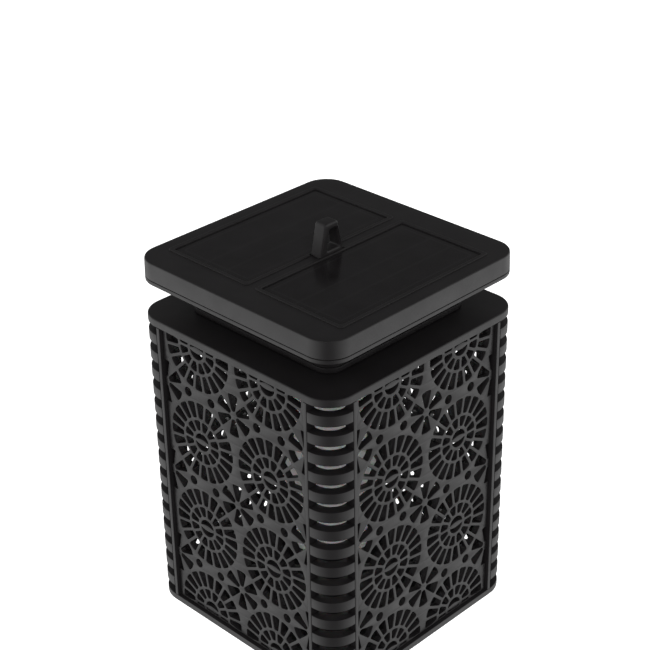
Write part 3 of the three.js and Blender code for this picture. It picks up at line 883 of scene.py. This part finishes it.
def window(centre, radii, start, end, spoke):
    """The space between two rings and two spokes, with rounded corners."""
    inner, outer = radii
    half = spoke / 2
    outer_soft, inner_soft = 1.3, 0.8

    def beside(radius, angle, side):
        return polar(centre, radius, angle + side * math.asin(half / radius))

    def arc_at(radius, soft, first, last, side):
        gap = (half + soft) / radius
        return arc(centre, radius, first + side * gap, last - side * gap, 4)

    over = arc_at(outer, outer_soft, start, end, 1)
    under = arc_at(inner, inner_soft, end, start, -1)
    return [
        *over,
        *bend(over[-1], beside(outer, end, -1), beside(outer - outer_soft, end, -1), 3)[1:],
        *bend(beside(inner + inner_soft, end, -1), beside(inner, end, -1), under[0], 2)[:-1],
        *under,
        *bend(under[-1], beside(inner, start, 1), beside(inner + inner_soft, start, 1), 2)[1:],
        *bend(beside(outer - outer_soft, start, 1), beside(outer, start, 1), over[0], 3)[:-1],
    ]


def hub_moon(centre, side):
    """Half of the hub's opening, above (side 1) or below (side -1) its bar."""
    reach = math.radians(12)
    over = arc((0, 0), HUB, reach, math.pi - reach, 10)
    left = over[-1]
    right = over[0]
    crown = Vector((0, 2 * HUB_BAR - left.y + 0.5))
    under = bend(left + Vector((0.4, -0.25)), crown, right + Vector((-0.4, -0.25)), 8)
    return [Vector((centre[0] + x, centre[1] + side * y)) for x, y in [*over, *under]]


def petal(centre, angle):
    inner, outer = PETAL
    foot = polar(centre, inner, angle)
    across = polar((0, 0), PETAL_FOOT / 2, angle + math.pi / 2)
    wide = arc(centre, outer, angle - PETAL_HALF_ANGLE, angle + PETAL_HALF_ANGLE, 2)
    return soften([foot + across, foot - across, *wide], 1.2, steps=3)


def clipped(points, limit, side):
    """The part of an outline below (side 1) or above (side -1) a level."""
    kept = []
    for i, here in enumerate(points):
        before = points[i - 1]
        inside = side * (limit - here[1]) >= 0
        was_inside = side * (limit - before[1]) >= 0
        if inside != was_inside:
            share = (limit - before[1]) / (here[1] - before[1])
            kept.append(Vector((before[0] + (here[0] - before[0]) * share, limit)))
        if inside:
            kept.append(Vector(here))
    return kept


def area_of(points):
    total = 0.0
    for i, (x, y) in enumerate(points):
        total += points[i - 1][0] * y - x * points[i - 1][1]
    return abs(total) / 2


def without_doubles(points):
    """The outline without points that are closer than 0.02 mm to the one before."""
    return [p for i, p in enumerate(points) if (Vector(p) - Vector(points[i - 1])).length > 0.02]


def rosette(centre):
    holes = [hub_moon(centre, side) for side in (1, -1)]
    for radii, count, spoke, offset in ((RING_1, WINDOWS_1, SPOKE_1, 0), (RING_2, WINDOWS_2, SPOKE_2, 0.5)):
        step = 2 * math.pi / count
        for number in range(count):
            start = (number + offset) * step
            holes.append(window(centre, radii, start, start + step, spoke))
    return holes


def fret_holes():
    holes = []
    half = panel_hi.y
    petal_limit = half - 5    # no petal reaches further to the side
    for row in range(ROWS + 1):
        z = body_top - ROW_INSET - row * ROW_PITCH
        for side in (-1, 1):
            holes += rosette((side * COLUMN_PITCH / 2, z))
    for star_z in star_levels():
        for column in (-1, 0, 1):
            centre = (column * COLUMN_PITCH, star_z)
            for number in range(6):
                angle = math.radians(30 + 60 * number)
                if abs(polar(centre, PETAL[1], angle).x) < petal_limit:
                    holes.append(petal(centre, angle))
            for side in (-1, 1):
                x = centre[0] + side * PIN_OFFSET
                if abs(x) < half:
                    holes.append(circle((x, star_z), PIN_HOLE, 16))
    low, high = panel_lo.z + FRET_BORDER, panel_hi.z - FRET_BORDER
    holes = [clipped(clipped(hole, high, 1), low, -1) for hole in holes]
    return [without_doubles(hole) for hole in holes if len(hole) > 2 and area_of(hole) > SMALLEST_HOLE]


def star_levels():
    return [body_top - ROW_INSET - (row + 0.5) * ROW_PITCH for row in range(ROWS)]


def fret_outline():
    """The panel's edge, with a notch where the upright petals of a side star run off it."""
    half = panel_hi.y
    near, far = 2.9, 13.4
    near_x, far_x = half - 1.6, half - 4.1
    right = []
    for z in reversed(star_levels()):
        for side in (-1, 1):
            notch = [(half, z + side * far), (far_x, z + side * far, 0.8),
                     (near_x, z + side * near, 0.5), (half, z + side * near)]
            right += notch[::-side]
    left = [(-point[0], *point[1:]) for point in reversed(right)]
    low, high = panel_lo.z, panel_hi.z
    outline = [(-half, low), (half, low), *right, (half, high), (-half, high), *left]
    return soften(outline, 0.3, steps=2)


def fret_panels():
    thickness = panel_hi.x - panel_lo.x
    mesh = fretted(fret_outline(), fret_holes(), thickness, FRET_EDGE)
    mesh = ready(stood_up(mesh, panel_lo.x))
    for number, side in enumerate(("right", "back", "left", "front")):
        place(mesh, f"fret_panel_{side}", turn=number * math.pi / 2)


# Pole, socket and spike

def pole_socket():
    bore = 13.0
    lip = socket_lo.z
    web = socket_hi.z - 4
    half = socket_hi.x
    flange = square_loft(soften([
        (half - 4, web), (half, web, 0.6), (half, socket_hi.z, 0.3), (half - 4, socket_hi.z),
    ], 0, closed=False), lambda side: 8 + side - half)
    cup = turned(cup_profile(bore, lip, web))
    place(ready(combined(flange, "UNION", [cup])), "pole_socket")


def cup_profile(bore, lip, web):
    """From the web down the bore, round the lip and up the outside."""
    return soften([
        (0, web), (bore, web, 0.3), (bore, lip, 0.4), (bore + 3.2, lip, 0.5), (bore + 4.4, lip + 2, 0.8),
        (bore + 4.4, web - 8, 3), (bore + 9, web + 1, 0), (0, web + 1),
    ], 0, closed=False)


def poles():
    inner, outer = pole_hi.x - POLE_WALL, pole_hi.x
    length = pole_hi.z - pole_lo.z
    profile = soften([(inner, 0), (outer, 0), (outer, length), (inner, length)], 0.5)
    mesh = ready(turned(profile, closed=True))
    for name in ("upper_pole", "lower_pole"):
        place(mesh, name, (0, 0, box(name)[0].z))


def pole_collar():
    plug_length = 25
    bore = plug_radius - 2.5
    grip = collar_hi.x
    low, high = collar_lo.z + plug_length, collar_hi.z - plug_length
    grooves = []
    for number in (1, 2, 3):
        z = low + (high - low) * number / 4
        grooves += [(grip, z - 0.5, 0.1), (grip - 0.35, z, 0.1), (grip, z + 0.5, 0.1)]
    profile = soften([
        (bore, collar_lo.z), (plug_radius, collar_lo.z, 0.9), (plug_radius, low, 0.1), (grip, low, 0.9),
        *grooves,
        (grip, high, 0.9), (plug_radius, high, 0.1), (plug_radius, collar_hi.z, 0.9), (bore, collar_hi.z),
    ], 0.3)
    place(ready(turned(profile, closed=True)), "pole_collar")


def ground_spike():
    """Four tapering blades under a flange, with a plug that goes up into the pole."""
    head = turned(soften([
        (0, -2), (16, -2, 0.5), (23, 0.6, 1.6), (23, 3, 0.8), (20, 5, 0.8), (plug_radius, 5, 0.3),
        (plug_radius, spike_hi.z, 1.0), (0, spike_hi.z),
    ], 0, closed=False))
    tip = spike_lo.z
    outline = soften([
        (15, -1, 0), (13, -60, 6), (1.2, tip, 0.6), (-1.2, tip, 0.6), (-13, -60, 6), (-15, -1, 0),
    ], 0, steps=4)
    blade = fretted(outline, [], SPIKE_BLADE, 0.6)
    blade = moved(blade, (0, 0, -SPIKE_BLADE / 2))
    blade.transform(Matrix.Rotation(math.pi / 2, 4, "X"))
    blades = [blade, turned_about(blade, math.pi / 2, "Z")]
    place(ready(combined(head, "UNION", blades)), "ground_spike")


cap_cover()
solar_panels()
hanging_loop()
cap_tray()
screws()
neck_floor()
power_button()
flame_tube()
top_plate()
base_plate()
corner_posts()
fret_panels()
pole_socket()
poles()
pole_collar()
ground_spike()

# Pieces inside the neck and the flame unit keep their CAD shapes
for kept in ("battery_holder", "battery", "circuit_board", "switch_body", "lamp_core", "lamp_sleeve"):
    frame["nodes"][kept].data.materials.clear()
    frame["nodes"][kept].data.materials.append(materials[slot_of[kept]])


# Studio

def pale_floor():
    """A white floor that neither reflects in the object nor lights it."""
    half, below_tip = 8.0, 0.002    # metres
    level = spike_lo.z * MM - below_tip
    corners = [(-half, -half, level), (half, -half, level), (half, half, level), (-half, half, level)]
    mesh = mesh_of(corners, [(0, 1, 2, 3)])
    floor = bpy.data.objects.new("studio_floor", mesh)
    scene.collection.objects.link(floor)
    material, tree, shader = tree_of("floor_white")
    colour = mixed(tree, between(tree, noise(tree, 3), 0.0, 1.0), (0.9, 0.9, 0.9), (0.91, 0.91, 0.91))
    tree.links.new(colour, shader.inputs["Base Color"])
    tree.links.new(colour, shader.inputs["Emission Color"])
    set_on(shader, Roughness=0.9, Emission_Strength=0.9)
    floor.visible_glossy = False
    floor.visible_diffuse = False
    mesh.materials.append(material)


def soft_sun():
    """A soft key light from the front and above, which reaches the flame tube through the fretwork."""
    light = bpy.data.lights.new("soft_sun", "SUN")
    light.energy = 2.8
    light.angle = math.radians(60)
    lamp = bpy.data.objects.new("soft_sun", light)
    lamp.visible_glossy = False
    lamp.rotation_mode = "QUATERNION"
    towards_light = Vector((1, -1, 0.9))
    lamp.rotation_quaternion = towards_light.to_track_quat("Z", "Y")
    scene.collection.objects.link(lamp)


def studio_world():
    """Soft light from the sides and a little from all round, stronger low down, and a white backdrop."""
    world = bpy.data.worlds.new("studio")
    scene.world = world
    world.use_nodes = True
    tree = world.node_tree
    tree.nodes.clear()
    output = tree.nodes.new("ShaderNodeOutputWorld")
    x, y, z = node(tree, "SeparateXYZ", {"Vector": node(tree, "TexCoord").outputs["Generated"]}).outputs
    sideways = maths(tree, "ABSOLUTE", maths(tree, "MULTIPLY", maths(tree, "ADD", x, y), math.sqrt(0.5)))
    from_sides = between(tree, sideways, 0.0, 1.0, 0.25, 0.9)
    height = between(tree, z, 1.15, 0.45, -0.45, 0.35)
    all_round = between(tree, z, 0.2, 0.115, -0.5, 0.3)
    strength = maths(tree, "ADD", maths(tree, "MULTIPLY", from_sides, height), all_round)
    seen = node(tree, "LightPath").outputs["Is Camera Ray"]
    soft = node(tree, "Background", {"Color": (1, 1, 1, 1), "Strength": strength})
    white = node(tree, "Background", {"Color": (1, 1, 1, 1), "Strength": 1.0})
    mix = node(tree, "MixShader", {0: seen, 1: soft.outputs[0], 2: white.outputs[0]})
    tree.links.new(mix.outputs[0], output.inputs[0])


def camera():
    azimuth, elevation, roll = math.radians(45.08), math.radians(28.73), math.radians(-1.04)
    distance = 918.4
    target = Vector((-1.3, -1.3, cap_top - 45.5))
    level = math.cos(elevation)
    back = Vector((math.sin(azimuth) * level, -math.cos(azimuth) * level, math.sin(elevation)))
    data = bpy.data.cameras.new("camera")
    data.lens = 90.82
    data.sensor_width = 36
    eye = bpy.data.objects.new("camera", data)
    scene.collection.objects.link(eye)
    eye.location = (target + back * distance) * MM
    eye.rotation_mode = "QUATERNION"
    eye.rotation_quaternion = (-back).to_track_quat("-Z", "Y") @ Quaternion((0, 0, 1), roll)
    scene.camera = eye


pale_floor()
soft_sun()
studio_world()
camera()
scene.view_settings.view_transform = "Standard"
scene.view_settings.look = "None"
